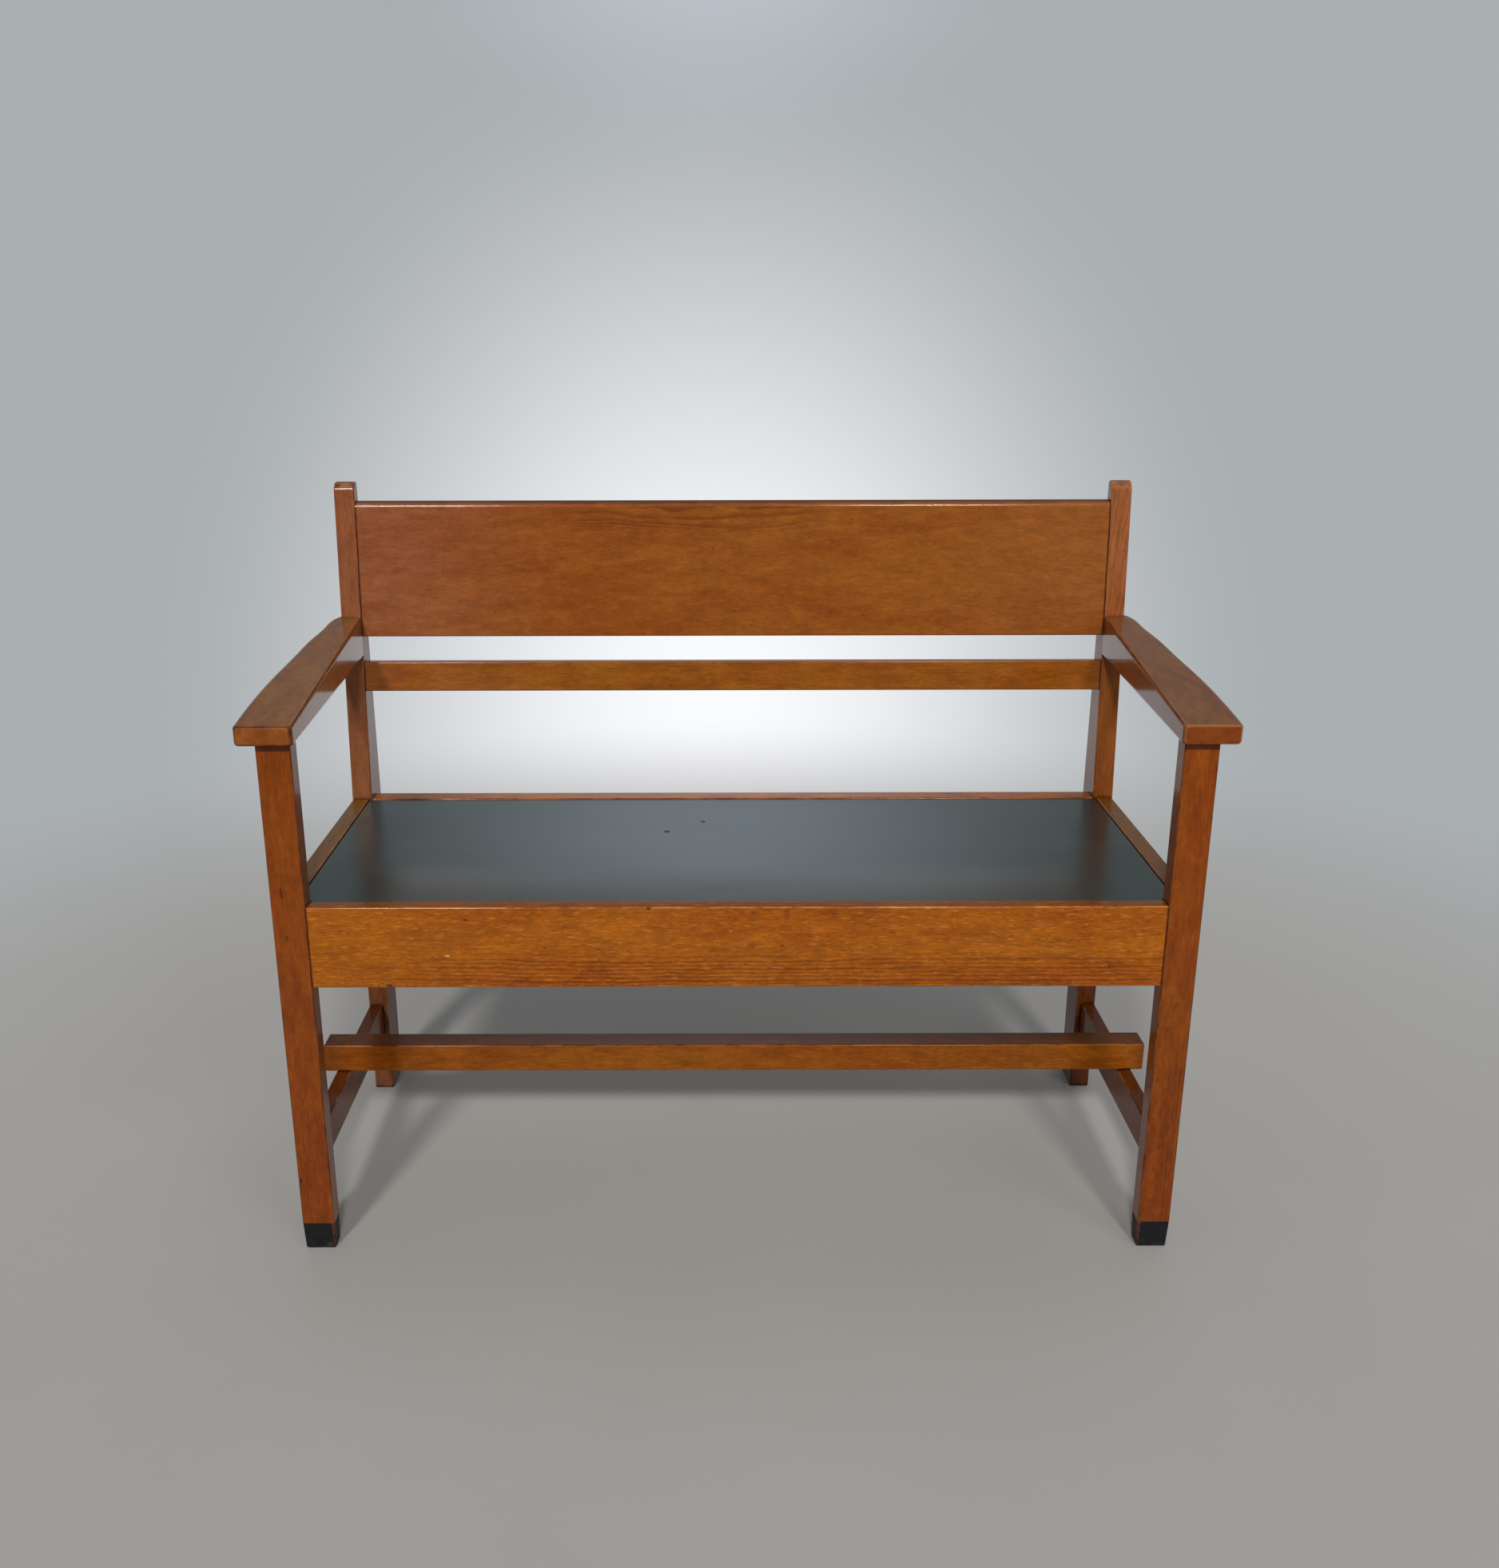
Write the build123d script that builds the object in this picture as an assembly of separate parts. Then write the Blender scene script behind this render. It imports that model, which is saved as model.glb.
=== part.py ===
from build123d import *
import math
import os

# An oak settle for a hall: two front legs, two raked rear posts, a railed seat,
# a back panel with a slat under it, two sculpted arms and an H of stretchers.
# X runs along the seat, -Y is the front, Z is up. The origin is on the floor,
# in the middle of the settle. Lengths are in millimetres.

# Frame
frame_width = 1073
seat_height = 457
seat_depth = 409
edge_round = 2
round_limit_share = 0.45
joint_play = 0.2

# Front legs
leg_width = 39.5
leg_depth = 26

# Black cups on the front feet
foot_cap_height = 37
foot_cap_wall = 3
foot_cap_floor = 4
foot_cap_taper = 1.5
foot_cap_round = 2.5

# Rear posts
post_width = 27.5
post_depth = 58
post_rake = 32
post_rake_start = 5
post_top_depth = 19
post_top_front_round = 13
post_top_back_round = 5
post_top_front_limit_share = 0.7
post_top_back_limit_share = 0.28
post_horn = 23.6

# Seat rails
rail_height = 101
front_rail_thickness = 19
side_rail_thickness = 22
back_rail_thickness = 28
side_inset = 1

# Tenons of the rails and stretchers, with the wood that their mortises leave
tenon_thickness_share = 0.45
tenon_shoulder = 8
tenon_band_gap = 4
mortise_cover = 8
post_tenon_share = 0.5

# Seat panel
seat_gap = 1
seat_recess = 1.5
seat_cover_thickness = 3
seat_cover_round = 1.5
seat_board_thickness = 12

# Battens and corner blocks under the seat
batten_thickness = 18
batten_height = 22
batten_screw_share = 0.8
side_batten_screw_share = 0.6
block_leg = 60
block_height = 36
block_screw_share = 0.43
block_screw_low_share = 0.3
block_screw_high_share = 0.7

# Countersunk wood screws
screw_bite_share = 0.6
screw_shank = 4
screw_head = 8
screw_head_depth = 3
screw_tip = 5
screw_slot = 1
screw_play = 0.15

# Stretchers
side_stretcher_bottom = 89
side_stretcher_height = 48
side_stretcher_thickness = 19
long_stretcher_setback = 205
long_stretcher_overhang = 15
long_stretcher_height = 38
long_stretcher_depth = 36
stretcher_screw_grip_share = 0.6
stretcher_screw_bite_share = 0.55
stretcher_screw_spacing_share = 0.5

# Back
slat_gap = 153.4
slat_height = 41
slat_thickness = 18
slat_round = 2.5
panel_gap = 34.6
panel_height = 182.9
panel_thickness = 22
panel_top_round = 10
slat_tenon_shoulder = 8
panel_tenon_shoulder = 15
panel_tenon_share = 0.4

# Arms
arm_clearance = 196.5
arm_overhang = 15
arm_rise = 4.5
arm_front_thickness = 23
arm_rear_thickness = 53.5
arm_taper = 19.5
arm_swell = 23
arm_edge_round = 4
arm_corner_round = 6
arm_swell_shares = ((0.0, 0.8), (0.2, 0.98), (0.42, 0.98), (0.6, 0.86), (0.78, 0.75), (0.9, 0.58),
                    (1.0, 0.4))
arm_lap = 18
arm_lap_fall_share = 0.65

# Dowels that hold the arms
leg_dowel = 10
leg_dowel_in_leg = 24
leg_dowel_in_arm_share = 0.6
post_dowel = 8
post_dowel_half_length = 20
post_dowel_inset = 10
post_dowel_shares = (0.25, 0.6)

# How far a cut runs past the wood that it cuts
overrun = 10

# Places worked out from the sizes
half_width = frame_width / 2
leg_front = (arm_overhang - seat_depth - post_depth) / 2
leg_back = leg_front + leg_depth
leg_inner = half_width - leg_width
rail_back = leg_front + front_rail_thickness
post_front = leg_front + seat_depth
post_back = post_front + post_depth
post_inner = half_width - post_width
side_outer = half_width - side_inset
side_inner = side_outer - side_rail_thickness
rail_bottom = seat_height - rail_height
rake_low = seat_height + post_rake_start
slat_bottom = seat_height + slat_gap
panel_bottom = slat_bottom + slat_height + panel_gap
post_height = panel_bottom + panel_height + post_horn
rake_angle = math.degrees(math.atan2(post_rake, post_height - rake_low))
tenon_height = (rail_height - 2 * tenon_shoulder - tenon_band_gap) / 2
low_tenon = rail_bottom + tenon_shoulder
high_tenon = low_tenon + tenon_height + tenon_band_gap
screw_bite = screw_bite_share * min(front_rail_thickness, side_rail_thickness, back_rail_thickness)
screw_length = batten_thickness + screw_bite
arm_front = leg_front - arm_overhang
arm_bottom = seat_height + arm_clearance
stretcher_top = side_stretcher_bottom + side_stretcher_height
stretcher_screw_start = stretcher_top - stretcher_screw_grip_share * side_stretcher_height
stretcher_screw_end = stretcher_top + stretcher_screw_bite_share * long_stretcher_height
stretcher_screw_length = stretcher_screw_end - stretcher_screw_start
cover_top = seat_height - seat_recess
board_top = cover_top - seat_cover_thickness
board_bottom = board_top - seat_board_thickness
batten_bottom = board_bottom - batten_height
block_bottom = batten_bottom - block_height


def block(x_low, x_high, y_low, y_high, z_low, z_high):
    """A square-edged block between two corners."""
    size = Box(x_high - x_low, y_high - y_low, z_high - z_low, align=(Align.MIN, Align.MIN, Align.MIN))
    return Pos(x_low, y_low, z_low) * size


def side_profile(points, x_low, x_high):
    """A (y, z) outline drawn out from one x to another."""
    face = make_face(Polyline(*points, close=True))
    return Pos(x_low, 0, 0) * extrude(Plane.YZ * face, x_high - x_low)


def grown(solid_size, play):
    """The two corners of a block, moved out by a play all round."""
    x_low, x_high, y_low, y_high, z_low, z_high = solid_size
    return block(x_low - play, x_high + play, y_low - play, y_high + play, z_low - play, z_high + play)


def eased(radius, wall):
    """A rounding's radius, kept under half of the wall that it is on."""
    return min(radius, wall * round_limit_share)


def mirrored(piece):
    """The same piece on the left-hand side."""
    return mirror(piece, about=Plane.YZ)


def rake_face(height):
    """The y of the rear posts' front face at a height."""
    if height <= rake_low:
        return post_front
    return post_front + post_rake * (height - rake_low) / (post_height - rake_low)


def on_rake(height):
    """The place on the raked front face at a height, with its Z along the rake."""
    return Pos(0, rake_face(height), height) * Rot(-rake_angle, 0, 0)


def arm_line(front_height, post_height_there, y):
    """The height at a y of a straight line from the arm's front to the post's face."""
    run = rake_face(post_height_there) - arm_front
    return front_height + (post_height_there - front_height) * (y - arm_front) / run


def arm_under(y):
    """The height of the arm's underside, which rises a little to the back."""
    return arm_line(arm_bottom, arm_bottom + arm_rise, y)


def arm_over(y):
    """The height of the arm's top, which rises more than its underside."""
    return arm_line(arm_bottom + arm_front_thickness, arm_bottom + arm_rise + arm_rear_thickness, y)


# Fasteners

def screw(length, play=0):
    """A screw with its head's top at the origin and its tip down, or the hole for it."""
    shank_radius = screw_shank / 2 + play
    head_radius = screw_head / 2 + play
    outline = Polyline(
        (0, 0),
        (head_radius, 0),
        (shank_radius, -screw_head_depth),
        (shank_radius, screw_tip - length),
        (0, -length - play),
        close=True,
    )
    body = revolve(Plane.XZ * make_face(outline), Axis.Z)
    if play:
        return body
    slot = block(-screw_head, screw_head, -screw_slot / 2, screw_slot / 2, -screw_slot, overrun)
    return body - slot


def screw_with_pocket(length):
    """The hole for a screw, with a straight way in for its head."""
    pocket = Cylinder(screw_head / 2 + screw_play, block_leg, align=(Align.CENTER, Align.CENTER, Align.MIN))
    return screw(length, screw_play) + pocket


def batten_screw_places():
    """Where the battens' screws start, and the turn that points each into its rail."""
    middle = batten_bottom + batten_height / 2
    reach = batten_screw_share * leg_inner
    side_start, side_end = side_batten_ends()
    side_reach = side_batten_screw_share * (side_end - side_start) / 2
    side_middle = (side_start + side_end) / 2
    places = []
    for x in (-reach, 0, reach):
        places.append(Pos(x, rail_back + batten_thickness, middle) * Rot(-90, 0, 0))
        places.append(Pos(x, post_front - batten_thickness, middle) * Rot(90, 0, 0))
    for side in (-1, 1):
        for offset in (-side_reach, side_reach):
            start = Pos(side * (side_inner - batten_thickness), side_middle + offset, middle)
            places.append(start * Rot(0, -90 * side, 0))
    return places


def block_screw_places():
    """Where the corner blocks' screws start, and the turn that points each into its rail."""
    low = block_bottom + block_height * block_screw_low_share
    high = block_bottom + block_height * block_screw_high_share
    inset = block_screw_share * block_leg
    places = []
    for side in (-1, 1):
        x_inset = side * (side_inner - inset)
        x_grip = side * (side_inner - batten_thickness)
        places.append(Pos(x_inset, rail_back + batten_thickness, low) * Rot(-90, 0, 0))
        places.append(Pos(x_inset, post_front - batten_thickness, low) * Rot(90, 0, 0))
        places.append(Pos(x_grip, rail_back + inset, high) * Rot(0, -90 * side, 0))
        places.append(Pos(x_grip, post_front - inset, high) * Rot(0, -90 * side, 0))
    return places


def stretcher_screw_places():
    """Where the screws that come up through the side stretchers start."""
    y_middle = leg_front + long_stretcher_setback + long_stretcher_depth / 2
    x_middle = side_outer - side_stretcher_thickness / 2
    reach = stretcher_screw_spacing_share * long_stretcher_depth / 2
    places = []
    for side in (-1, 1):
        for offset in (-reach, reach):
            start = Pos(side * x_middle, y_middle + offset, stretcher_screw_start)
            places.append(start * Rot(180, 0, 0))
    return places


def drilled(piece, places, cutter):
    """The piece with a hole at each place."""
    return piece - [place * cutter for place in places]


def group(places, piece):
    """Copies of one piece, each at its own place."""
    return Compound(children=[place * piece.solid() for place in places])


# Tenons, each given by its two corners so that its mortise can follow it

def tenon_faces(face, thickness):
    """The two faces of a tenon in the middle of a board that starts at a face."""
    middle = face + thickness / 2
    half = tenon_thickness_share * thickness / 2
    return middle - half, middle + half


def rail_tenon(shoulder_x, width, face, thickness):
    """The right tenon of the front or back rail, in the upper part of the rail."""
    y_low, y_high = tenon_faces(face, thickness)
    end_x = shoulder_x + width - mortise_cover
    return shoulder_x, end_x, y_low, y_high, high_tenon, high_tenon + tenon_height


def front_rail_tenon():
    return rail_tenon(leg_inner, leg_width, leg_front, front_rail_thickness)


def back_rail_tenon():
    return rail_tenon(post_inner, post_width, post_front, back_rail_thickness)


def side_tenon(thickness, z_low, z_high):
    """The tenon that runs the whole length of a side rail or side stretcher."""
    x_low, x_high = tenon_faces(side_outer - thickness, thickness)
    y_high = post_front + post_tenon_share * post_depth
    return x_low, x_high, leg_front + mortise_cover, y_high, z_low, z_high


def side_rail_tenon():
    return side_tenon(side_rail_thickness, low_tenon, low_tenon + tenon_height)


def side_stretcher_tenon():
    return side_tenon(side_stretcher_thickness, side_stretcher_bottom + tenon_shoulder,
                      stretcher_top - tenon_shoulder)


def back_board_tenon(bottom, height, thickness, shoulder, play=0):
    """The long tenon of a board of the back, or the mortise for it."""
    reach = post_inner + panel_tenon_share * post_width
    y_low, y_high = tenon_faces(0, thickness)
    return on_rake(bottom) * grown((-reach, reach, y_low, y_high, shoulder, height - shoulder), play)


def slat_tenon(play=0):
    return back_board_tenon(slat_bottom, slat_height, slat_thickness, slat_tenon_shoulder, play)


def panel_tenon(play=0):
    return back_board_tenon(panel_bottom, panel_height, panel_thickness, panel_tenon_shoulder, play)


# Legs and posts

def front_leg():
    """The right front leg, pared at the foot to fit its cup."""
    points = [(leg_front, foot_cap_height), (leg_back, foot_cap_height),
              (leg_back, arm_under(leg_back)), (leg_front, arm_under(leg_front))]
    leg = side_profile(points, leg_inner, half_width)
    leg = fillet(leg.edges().filter_by(Axis.Z), edge_round)
    inset = foot_cap_wall + joint_play
    leg = leg + block(leg_inner + inset, half_width - inset, leg_front + inset, leg_back - inset,
                      foot_cap_floor, foot_cap_height)
    leg = leg - grown(front_rail_tenon(), joint_play)
    leg = leg - grown(side_rail_tenon(), joint_play)
    leg = leg - grown(side_stretcher_tenon(), joint_play)
    return leg - leg_dowel_at_leg(joint_play)


def foot_cap():
    """The right foot's cup: it narrows to the floor."""
    x_middle = half_width - leg_width / 2
    y_middle = leg_front + leg_depth / 2
    narrowing = 2 * foot_cap_taper
    low = Pos(x_middle, y_middle, 0) * Rectangle(leg_width - narrowing, leg_depth - narrowing)
    high = Pos(x_middle, y_middle, foot_cap_height) * Rectangle(leg_width, leg_depth)
    cup = loft([low, high])
    rim = cup.faces().sort_by(Axis.Z)[-1].edges()
    cup = fillet(cup.edges() - rim, foot_cap_round)
    return cup - block(leg_inner + foot_cap_wall, half_width - foot_cap_wall, leg_front + foot_cap_wall,
                       leg_back - foot_cap_wall, foot_cap_floor, foot_cap_height + overrun)


def rear_post():
    """The right rear post: upright to the seat, then its front face rakes back.

    Its top is rounded over, more in front than behind, and every other edge is eased.
    """
    points = [(post_front, 0), (post_back, 0), (post_back, rake_low),
              (post_front + post_rake + post_top_depth, post_height),
              (post_front + post_rake, post_height), (post_front, rake_low)]
    post = side_profile(points, post_inner, half_width)
    front_radius = min(post_top_front_round, post_top_depth * post_top_front_limit_share)
    back_radius = min(post_top_back_round, post_top_depth * post_top_back_limit_share)
    for place, radius in ((0, front_radius), (-1, back_radius)):
        top = post.faces().filter_by(Axis.Z).sort_by(Axis.Z)[-1]
        post = fillet(top.edges().filter_by(Axis.X).sort_by(Axis.Y)[place], radius)
    foot = post.faces().sort_by(Axis.Z)[0]
    sides = post.faces().sort_by(Axis.X)
    rims = ShapeList(sides[0].edges() + sides[-1].edges() + foot.edges().filter_by(Axis.X))
    post = fillet(rims, edge_round)
    post = post - grown(back_rail_tenon(), joint_play)
    post = post - grown(side_rail_tenon(), joint_play)
    post = post - grown(side_stretcher_tenon(), joint_play)
    post = post - slat_tenon(joint_play)
    post = post - panel_tenon(joint_play)
    return drilled(post, post_dowel_places(), post_dowel_solid(joint_play))


# Seat frame

def long_rail(half_length, y_low, y_high, z_low, z_high):
    """A board along X with its long edges eased."""
    rail = block(-half_length, half_length, y_low, y_high, z_low, z_high)
    return fillet(rail.edges().filter_by(Axis.X), edge_round)


def front_rail():
    rail = long_rail(leg_inner, leg_front, leg_front + front_rail_thickness, rail_bottom, seat_height)
    tenon = block(*front_rail_tenon())
    rail = rail + tenon + mirrored(tenon)
    rail = drilled(rail, batten_screw_places(), screw(screw_length, screw_play))
    return drilled(rail, block_screw_places(), screw(screw_length, screw_play))


def back_rail():
    rail = long_rail(post_inner, post_front, post_front + back_rail_thickness, rail_bottom, seat_height)
    tenon = block(*back_rail_tenon())
    rail = rail + tenon + mirrored(tenon)
    rail = drilled(rail, batten_screw_places(), screw(screw_length, screw_play))
    return drilled(rail, block_screw_places(), screw(screw_length, screw_play))


def side_board(thickness, z_low, z_high, tenon):
    """A board from the front leg to the rear post, with a tenon at each end."""
    board = block(side_outer - thickness, side_outer, leg_back, post_front, z_low, z_high)
    board = fillet(board.edges().filter_by(Axis.Y), edge_round)
    return board + block(*tenon)


def side_rail():
    rail = side_board(side_rail_thickness, rail_bottom, seat_height, side_rail_tenon())
    rail = drilled(rail, batten_screw_places(), screw(screw_length, screw_play))
    return drilled(rail, block_screw_places(), screw(screw_length, screw_play))


# Seat

def seat_outline(z_low, z_high):
    """The panel that drops in between the rails, notched round the front legs."""
    edge = side_inner - seat_gap
    panel = block(-edge, edge, rail_back + seat_gap, post_front - seat_gap, z_low, z_high)
    notch = block(leg_inner - seat_gap, half_width, leg_front, leg_back + seat_gap, z_low - overrun,
                  z_high + overrun)
    return panel - notch - mirrored(notch)


def seat_board():
    return seat_outline(board_bottom, board_top)


def seat_cover():
    cover = seat_outline(board_top, cover_top)
    return fillet(cover.faces().sort_by(Axis.Z)[-1].edges(), seat_cover_round)


def front_batten():
    reach = leg_inner - seat_gap
    batten = block(-reach, reach, rail_back, rail_back + batten_thickness, batten_bottom, board_bottom)
    return drilled(batten, batten_screw_places(), screw(screw_length, screw_play))


def back_batten():
    reach = side_inner - seat_gap
    batten = block(-reach, reach, post_front - batten_thickness, post_front, batten_bottom, board_bottom)
    return drilled(batten, batten_screw_places(), screw(screw_length, screw_play))


def side_batten_ends():
    """The y of a side batten's ends, just clear of the front and back battens."""
    clear = batten_thickness + seat_gap
    return rail_back + clear, post_front - clear


def side_batten():
    y_low, y_high = side_batten_ends()
    batten = block(side_inner - batten_thickness, side_inner, y_low, y_high, batten_bottom, board_bottom)
    return drilled(batten, batten_screw_places(), screw(screw_length, screw_play))


def corner_blocks():
    """Four glue blocks, a front and a back one at each side."""
    leg_edge = leg_inner - seat_gap
    leg_end = leg_back + seat_gap
    front = [(side_inner - block_leg, rail_back), (leg_edge, rail_back), (leg_edge, leg_end),
             (side_inner, leg_end), (side_inner, rail_back + block_leg)]
    back = [(side_inner - block_leg, post_front), (side_inner, post_front),
            (side_inner, post_front - block_leg)]
    solids = []
    for points in (front, back):
        outline = make_face(Polyline(*points, close=True))
        right = Pos(0, 0, block_bottom) * extrude(outline, block_height)
        for piece in (right, mirrored(right)):
            solids.append(drilled(piece, block_screw_places(), screw_with_pocket(screw_length)).solid())
    return Compound(children=solids)


# Stretchers

def side_stretcher():
    board = side_board(side_stretcher_thickness, side_stretcher_bottom, stretcher_top, side_stretcher_tenon())
    return drilled(board, stretcher_screw_places(), screw_with_pocket(stretcher_screw_length))


def long_stretcher():
    """The long stretcher lies on the side ones and runs a little past them."""
    y_low = leg_front + long_stretcher_setback
    reach = side_outer + long_stretcher_overhang
    bar = block(-reach, reach, y_low, y_low + long_stretcher_depth, stretcher_top,
                stretcher_top + long_stretcher_height)
    bar = fillet(bar.edges(), edge_round)
    return drilled(bar, stretcher_screw_places(), screw(stretcher_screw_length, screw_play))


# Back

def back_board(bottom, height, thickness, top_round):
    """A board between the posts, flush with their raked front face."""
    board = block(-post_inner, post_inner, 0, thickness, 0, height)
    top = board.faces().sort_by(Axis.Z)[-1]
    board = fillet(top.edges().filter_by(Axis.X), eased(top_round, thickness))
    foot = board.faces().sort_by(Axis.Z)[0]
    board = fillet(foot.edges().filter_by(Axis.X), eased(edge_round, thickness))
    return on_rake(bottom) * board


def back_slat():
    return back_board(slat_bottom, slat_height, slat_thickness, slat_round) + slat_tenon()


def back_panel():
    return back_board(panel_bottom, panel_height, panel_thickness, panel_top_round) + panel_tenon()


# Arms

def arm_plan():
    """The right arm seen from above: straight inside, swelling outside, on past the post's face."""
    rear = rake_face(arm_bottom + arm_rise + arm_rear_thickness)
    run = rear - arm_front
    end = rear + 2 * arm_lap
    outer = [(half_width + arm_swell * swell, arm_front + run * along) for along, swell in arm_swell_shares]
    outer.append((half_width, rear + arm_lap))
    outer.append((half_width - arm_lap * arm_lap_fall_share, end))
    edge = Spline(*outer)
    rest = Polyline(
        outer[-1],
        (post_inner + arm_taper * (end - rear) / run, end),
        (post_inner - arm_taper, arm_front),
        outer[0],
    )
    return make_face([edge, rest])


def behind_post_face():
    """The space behind the post's front face that the arm leaves free, out to the post's side."""
    low = arm_bottom - overrun
    high = arm_bottom + arm_rise + arm_rear_thickness + overrun
    far = post_back + 2 * post_rake
    points = [(rake_face(low), low), (far, low), (far, high), (rake_face(high), high)]
    return side_profile(points, 0, half_width)


def arm():
    """The right arm: thin in front, deep at the post, and lapped a little over the post's side."""
    top = arm_bottom + arm_rise + arm_rear_thickness
    far = rake_face(top) + 3 * arm_lap
    points = [(arm_front, arm_under(arm_front)), (far, arm_under(far)),
              (far, arm_over(far)), (arm_front, arm_over(arm_front))]
    side = side_profile(points, 0, frame_width)
    plan = Pos(0, 0, arm_bottom - overrun) * extrude(arm_plan(), top - arm_bottom + 2 * overrun)
    body = side & plan
    corners = body.edges().filter_by(Axis.Z).group_by(Axis.Y)[0]
    body = fillet(corners, eased(arm_corner_round, leg_width))
    top_and_bottom = body.faces().filter_by(lambda face: abs(face.normal_at().Z) > 0.5)
    rear = body.faces().sort_by(Axis.Y)[-1]
    rims = ShapeList(top_and_bottom[0].edges() + top_and_bottom[-1].edges()) - rear.edges()
    body = fillet(rims, eased(arm_edge_round, arm_front_thickness)) - behind_post_face()
    body = body - leg_dowel_at_leg(joint_play)
    return drilled(body, post_dowel_places(), post_dowel_solid(joint_play))


def leg_dowel_at_leg(play=0):
    """The upright dowel between the right front leg and its arm, or the hole for it."""
    y_middle = leg_front + leg_depth / 2
    low = arm_under(y_middle) - leg_dowel_in_leg - play
    length = leg_dowel_in_leg + leg_dowel_in_arm_share * arm_front_thickness + 2 * play
    pin = Cylinder(leg_dowel / 2 + play, length, align=(Align.CENTER, Align.CENTER, Align.MIN))
    return Pos(half_width - leg_width / 2, y_middle, low) * pin


def post_dowel_places():
    """The middles of the level dowels between the right arm and its post."""
    places = []
    for share in post_dowel_shares:
        height = arm_bottom + arm_rise + arm_rear_thickness * share
        places.append(Pos(half_width - post_dowel_inset, rake_face(height), height) * Rot(90, 0, 0))
    return places


def post_dowel_solid(play=0):
    return Cylinder(post_dowel / 2 + play, 2 * (post_dowel_half_length + play))


def leg_dowels():
    pin = leg_dowel_at_leg()
    return Compound(children=[pin, mirrored(pin)])


def post_dowels():
    solids = []
    for place in post_dowel_places():
        pin = place * post_dowel_solid()
        solids.append(pin)
        solids.append(mirrored(pin))
    return Compound(children=solids)


def pair(name, piece):
    """The right-hand piece and its mirror image, under their own names."""
    return {name + "_left": mirrored(piece), name + "_right": piece}


def settle():
    """Every piece of the settle by its node's name."""
    pieces = {
        "front_rail": front_rail(),
        "back_rail": back_rail(),
        "long_stretcher": long_stretcher(),
        "back_slat": back_slat(),
        "back_panel": back_panel(),
        "seat_board": seat_board(),
        "seat_cover": seat_cover(),
        "seat_batten_front": front_batten(),
        "seat_batten_back": back_batten(),
        "corner_blocks": corner_blocks(),
        "seat_frame_screws": group(batten_screw_places() + block_screw_places(), screw(screw_length)),
        "stretcher_screws": group(stretcher_screw_places(), screw(stretcher_screw_length)),
        "arm_leg_dowels": leg_dowels(),
        "arm_post_dowels": post_dowels(),
    }
    pieces.update(pair("front_leg", front_leg()))
    pieces.update(pair("front_foot_cap", foot_cap()))
    pieces.update(pair("rear_post", rear_post()))
    pieces.update(pair("side_rail", side_rail()))
    pieces.update(pair("side_stretcher", side_stretcher()))
    pieces.update(pair("seat_batten", side_batten()))
    pieces.update(pair("arm", arm()))
    return pieces


os.makedirs("parts", exist_ok=True)
for node_name, piece in settle().items():
    export_step(piece, "parts/" + node_name + ".step")
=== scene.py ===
import math

import bpy
from mathutils import Matrix, Vector

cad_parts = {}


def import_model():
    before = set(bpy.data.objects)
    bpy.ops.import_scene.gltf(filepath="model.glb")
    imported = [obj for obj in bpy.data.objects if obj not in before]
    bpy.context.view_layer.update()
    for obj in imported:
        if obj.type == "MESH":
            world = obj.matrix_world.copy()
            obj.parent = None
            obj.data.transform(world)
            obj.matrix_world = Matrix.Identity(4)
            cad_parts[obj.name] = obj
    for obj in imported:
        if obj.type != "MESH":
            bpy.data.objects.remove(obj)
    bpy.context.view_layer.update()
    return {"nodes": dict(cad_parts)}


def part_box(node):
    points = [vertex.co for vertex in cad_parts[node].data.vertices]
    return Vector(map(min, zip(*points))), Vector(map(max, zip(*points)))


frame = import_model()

# A settle of varnished oak with a dark green seat covering, in metres: X runs
# along the seat, -Y is the front, Z is up, and the floor is at 0.
X, Y, Z = 0, 1, 2

# Places on the settle that the materials follow
LEG_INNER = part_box("front_leg_right")[0].x
LEG_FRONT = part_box("front_leg_right")[0].y
POST_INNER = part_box("rear_post_right")[0].x
SEAT_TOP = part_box("seat_cover")[1].z

# How far a corner shades its sides, and how finely that is sampled
CORNER_REACH = 0.006
CORNER_SAMPLES = 6

# Camera, solved from edges that were measured on the photograph
IMAGE_WIDTH = 1876
IMAGE_HEIGHT = 1963
FOCAL_PIXELS = 1859.7
AXIS_X_PIXELS = 893.2
AXIS_Y_PIXELS = 1006.2
CAMERA_PLACE = (-0.0273, -1.8138, 1.0999)
CAMERA_PITCH = 18.06
CAMERA_YAW = -0.02
CAMERA_ROLL = 0.111
SENSOR = 36.0


def srgb(red, green, blue):
    """A linear colour from the 0 to 255 values that a picture shows."""
    out = []
    for value in (red, green, blue):
        share = value / 255
        out.append(share / 12.92 if share <= 0.04045 else ((share + 0.055) / 1.055) ** 2.4)
    return (*out, 1.0)


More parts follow.
